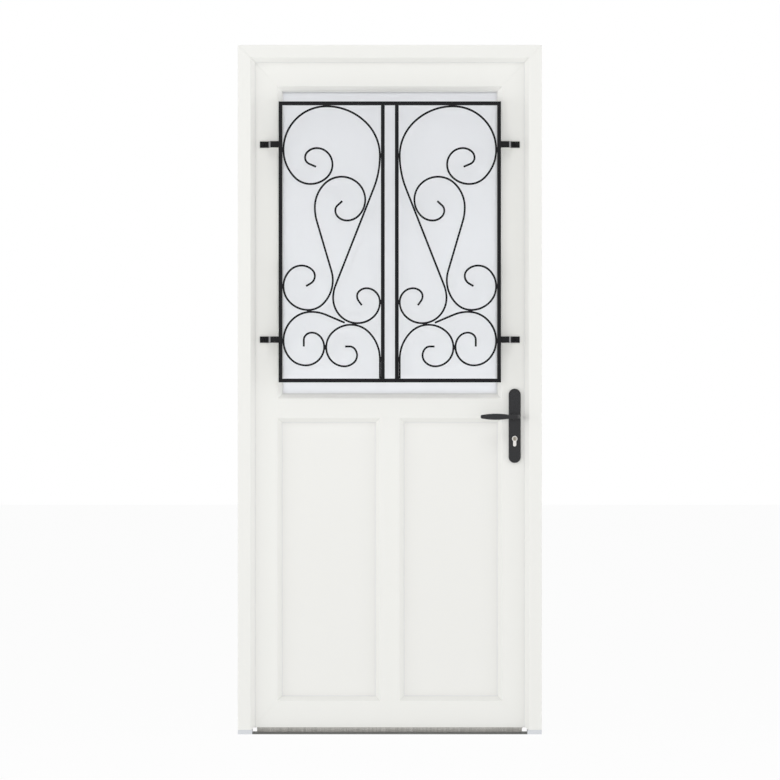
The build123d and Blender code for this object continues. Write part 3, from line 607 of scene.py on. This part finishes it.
# %% Screws
DOME_HEAD = [                    # (radius, height), from the rim to the bottom of the recess
    (0.0060, 0), (0.0060, 0.0006), (0.0052, 0.0019), (0.0036, 0.0030), (0.0021, 0.0034),
    (0.0019, 0.0033), (0.0017, 0.0016), (0.0003, 0.0015),
]
SUNK_HEAD = [
    (0.0040, -0.0008), (0.0040, 0.0002), (0.0036, 0.0004), (0.0019, 0.0004),
    (0.0017, 0.0003), (0.0015, -0.0006), (0.0003, -0.0007),
]
TAB_HOLE = 0.011                 # from the end of a lug to its screw
LUG_T = 0.004                    # thickness of a lug
PLATE_HOLES = 0.195              # between the two screws of a handle plate
STRIP_SCREWS = 7
STRIP_END = 0.025                # from the end of the lock strip to its first screw
HINGE_L = 0.110                  # height of a hinge
HINGE_PLATE = 0.004              # thickness of its plate
HINGE_HOLES = ((0.009, 0.030), (0.022, 0.045))   # in from the plate's edge, away from its middle
KEEP_END = 0.0175                # from a keep's end to its screw
KEEP_GAP = 0.2                   # corners further apart in height than this lie on two keeps


def screws(name, profile, places, axis, finish, body):
    """One piece of screws that stand at these places, with their heads along the axis."""
    made = gather(name, [turned("screw", profile, place, axis, finish, body) for place in places], body)
    smooth(made)


lug_holes = (lug_low.x + TAB_HOLE, lug_high.x - TAB_HOLE)
lug_places = [(x, lug_high.y - LUG_T, z) for x in lug_holes for z in lug_levels]
screws("lug_screws", DOME_HEAD, lug_places, (0, -1, 0), iron, "leaf")

plate_low, plate_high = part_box("inner_plate")
plate_middle = (plate_low + plate_high) / 2
plate_levels = [plate_middle.z + way * PLATE_HOLES / 2 for way in (-1, 1)]
plate_places = [(plate_middle.x, plate_high.y, z) for z in plate_levels]
screws("plate_screws", SUNK_HEAD, plate_places, (0, 1, 0), handle_paint, "leaf")

strip_low, strip_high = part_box("lock_strip")
strip_y = (strip_low.y + strip_high.y) / 2
strip_levels = np.linspace(strip_low.z + STRIP_END, strip_high.z - STRIP_END, STRIP_SCREWS)
strip_places = [(strip_high.x, strip_y, z) for z in strip_levels]
screws("strip_screws", SUNK_HEAD, strip_places, (1, 0, 0), zinc, "leaf")

hinge_low, hinge_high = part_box("hinge_leaf_parts")
hinge_face = stile_high.y + HINGE_PLATE
hinge_levels = (hinge_low.z + HINGE_L / 2, (hinge_low.z + hinge_high.z) / 2, hinge_high.z - HINGE_L / 2)
hinge_places = [
    (hinge_high.x - across, hinge_face, z + side * along)
    for z in hinge_levels
    for side in (-1, 1)
    for across, along in HINGE_HOLES
]
screws("hinge_screws", SUNK_HEAD, hinge_places, (0, 1, 0), zinc, "leaf")

keep_low, keep_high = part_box("strike_keeps")
keep_y = (keep_low.y + keep_high.y) / 2
keep_levels = sorted({round(corner.z, 4) for corner in tree_of("strike_keeps")[1]})
keep_ends = [(keep_levels[0], 1), (keep_levels[-1], -1)]
for z, above in zip(keep_levels, keep_levels[1:]):
    if above - z > KEEP_GAP:
        keep_ends += [(z, -1), (above, 1)]
keep_places = [(keep_low.x, keep_y, z + way * KEEP_END) for z, way in keep_ends]
screws("keep_screws", SUNK_HEAD, keep_places, (-1, 0, 0), zinc, "frame")
print(len(lug_places + plate_places + strip_places + hinge_places + keep_places), "screws")

# %% [markdown]
# ## Brush under the leaf
# The CAD model has the brush as a plain block. The real one is a strip of nylon pile in a carrier,
# and the tufts are what gives it its upright streaks. Each tuft is a slim square prism that leans a
# little to one side, and four rows of them stand one behind the other. The carrier above them is
# a plain strip of the same colour.

# %% Brush
CARRIER = 0.003                  # height of the carrier
PILE = 0.007                     # thickness of the pile
ROWS = 4
PITCH = 0.0021                   # from tuft to tuft in a row
TUFT_HALF = 0.0009               # half the width of a tuft
END_GAP = 0.001                  # from the faces of the block to the middle of the outer tufts
LEAN = 0.0004                    # spread of the tips along the door
DEPTH_LEAN = 0.4                 # share of that spread in depth
RAGGED = 0.0007                  # by how much the tufts differ in length
PRISM = 8                        # corners of a tuft


def tufts(name, heads, tips, half, finish, body):
    """Square prisms of this half width from heads to tips, both (count, 3)."""
    square = np.array([(-1, -1, 0), (1, -1, 0), (1, 1, 0), (-1, 1, 0)], float) * half
    rings = np.stack([tips[:, None] + square, heads[:, None] + square], axis=1)
    base = np.arange(len(heads))[:, None, None] * PRISM
    sides = np.array([(a, (a + 1) % 4, (a + 1) % 4 + 4, a + 4) for a in range(4)])
    ends = np.array([(3, 2, 1, 0), (4, 5, 6, 7)])
    faces = (base + np.concatenate([sides, ends])[None]).reshape(-1, 4)
    return piece_from(name, rings.reshape(-1, 3), faces.tolist(), finish.material, body)


fibre = Finish("brush_nylon")
strand = fibre.noise(160.0, 3.0, (1, 1, 0.01))
fibre.feed(
    Base_Color=fibre.blend(strand, (0.25, 0.243, 0.223), (0.60, 0.585, 0.545)),
    Roughness=0.55 + strand * 0.2,
)
brush_low, brush_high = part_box("bottom_brush")
rng = np.random.default_rng(4)
row_start, row_end = brush_low.x + END_GAP, brush_high.x - END_GAP
columns = np.arange(row_start, row_end, PITCH)
rows = np.linspace(brush_low.y + END_GAP, brush_low.y + PILE - END_GAP, ROWS)
x, y = (grid.ravel() for grid in np.meshgrid(columns, rows))
count = len(x)
shift = rng.normal(0, LEAN, (count, 2))
heads = np.stack([x, y, np.full(count, brush_high.z - CARRIER)], axis=1)
tips = heads + np.stack([shift[:, 0], shift[:, 1] * DEPTH_LEAN, np.zeros(count)], axis=1)
tips[:, 0] = np.clip(tips[:, 0], row_start, row_end)
tips[:, 2] = brush_low.z + rng.uniform(0, RAGGED, count)
pile = tufts("brush_pile", heads, tips, TUFT_HALF, fibre, "leaf")

corner = np.array([(-1, -1), (1, -1), (1, 1), (-1, 1)])
middle = np.array(((brush_low.x + brush_high.x) / 2, (brush_low.y + brush_high.y) / 2))
half = np.array(((brush_high.x - brush_low.x) / 2, (brush_high.y - brush_low.y) / 2))
levels = (brush_high.z - CARRIER, brush_high.z)
block = np.array([[(px, py, level) for px, py in middle + corner * half] for level in levels])
carrier = surface("brush_carrier", block, fibre, "leaf")
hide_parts("bottom_brush")
print(count, "tufts")

# %% [markdown]
# ## Backdrop and light
# A door that is sold from a catalogue stands on white in soft light. The world is an even grey for
# what it lights, and plain white for the camera, for what shows through the glass and for what a
# surface mirrors. Five lamps stand in front of the door. The key lamp on the left is small, so that
# the iron bars throw a soft shadow to the right on the leaf. The large one in front isn't mirrored,
# because it would leave a pale patch in the black handle plate. One stands high, and one on each
# side lights the slopes. The floor gives off light of its own, more of it for the camera than for
# the door, so that it looks white and keeps a faint shadow.

# %% Backdrop and light
AMBIENT = 0.48
LAMPS = {                        # where it stands, what it looks at, its size and its power
    "key": ((-2.6, -5.4, 1.6), (0.1, 0, 1.2), 1.1, 24),
    "front": ((0.0, -8.0, 1.4), (0, 0, 1.1), 2.2, 56),
    "above": ((0.0, -6.5, 8.5), (0, 0, 1.1), 3.0, 125),
    "left_side": ((-5.5, -2.6, 1.6), (0, 0, 1.1), 2.8, 58),
    "right_side": ((5.5, -2.6, 1.6), (0, 0, 1.1), 2.8, 54),
}
FLOOR_GLOW = 0.62                # share of the floor that is plain white light
FLOOR_SEEN = 0.33                # what the camera sees on top of that share
FLOOR_REACH = 40.0

world = bpy.data.worlds.new("studio")
bpy.context.scene.world = world
world.use_nodes = True
nodes, links = world.node_tree.nodes, world.node_tree.links
nodes.clear()
path = nodes.new("ShaderNodeLightPath")
plain = path.outputs["Is Camera Ray"]
for ray in ("Is Transmission Ray", "Is Glossy Ray"):
    either = nodes.new("ShaderNodeMath")
    either.operation = "MAXIMUM"
    links.new(plain, either.inputs[0])
    links.new(path.outputs[ray], either.inputs[1])
    plain = either.outputs[0]
mix = nodes.new("ShaderNodeMixShader")
links.new(plain, mix.inputs[0])
for socket, strength in ((1, AMBIENT), (2, 1.0)):
    sky = nodes.new("ShaderNodeBackground")
    sky.inputs["Color"].default_value = (1, 1, 1, 1)
    sky.inputs["Strength"].default_value = strength
    links.new(sky.outputs[0], mix.inputs[socket])
links.new(mix.outputs[0], nodes.new("ShaderNodeOutputWorld").inputs[0])

for name, (at, target, size, power) in LAMPS.items():
    lamp = bpy.data.lights.new(name, "AREA")
    lamp.shape = "SQUARE"
    lamp.size = size
    lamp.energy = power
    stand = bpy.data.objects.new(name, lamp)
    stand.location = at
    stand.rotation_euler = (Vector(target) - Vector(at)).to_track_quat("-Z", "Y").to_euler()
    bpy.context.scene.collection.objects.link(stand)
    stand.visible_glossy = name != "front"

floor_finish = Finish("pale_floor", Roughness=0.9, Specular_IOR_Level=0.0)
cloudy = floor_finish.noise(3.0)
floor_finish.feed(Base_Color=floor_finish.blend(cloudy, (0.86, 0.86, 0.86), (0.88, 0.88, 0.88)))
lit = Flow(floor_finish, floor_finish.shader.outputs[0])
glow = floor_finish.node("ShaderNodeEmission", None, Strength=1.0)
seen = floor_finish.node("ShaderNodeLightPath", out="Is Camera Ray")
glowing = floor_finish.node("ShaderNodeMixShader", None, seen * FLOOR_SEEN + FLOOR_GLOW, lit, glow)
floor_finish.put(floor_finish.tree.nodes["Material Output"].inputs[0], glowing)

corners = [(x * FLOOR_REACH, y * FLOOR_REACH, 0) for x, y in ((-1, -1), (1, -1), (1, 1), (-1, 1))]
floor_mesh = bpy.data.meshes.new("floor")
floor_mesh.from_pydata(corners, [], [(0, 1, 2, 3)])
floor_mesh.materials.append(floor_finish.material)
floor = bpy.data.objects.new("floor", floor_mesh)
bpy.context.scene.collection.objects.link(floor)
bpy.context.scene.view_settings.view_transform = "Standard"
print(len(LAMPS), "lamps")
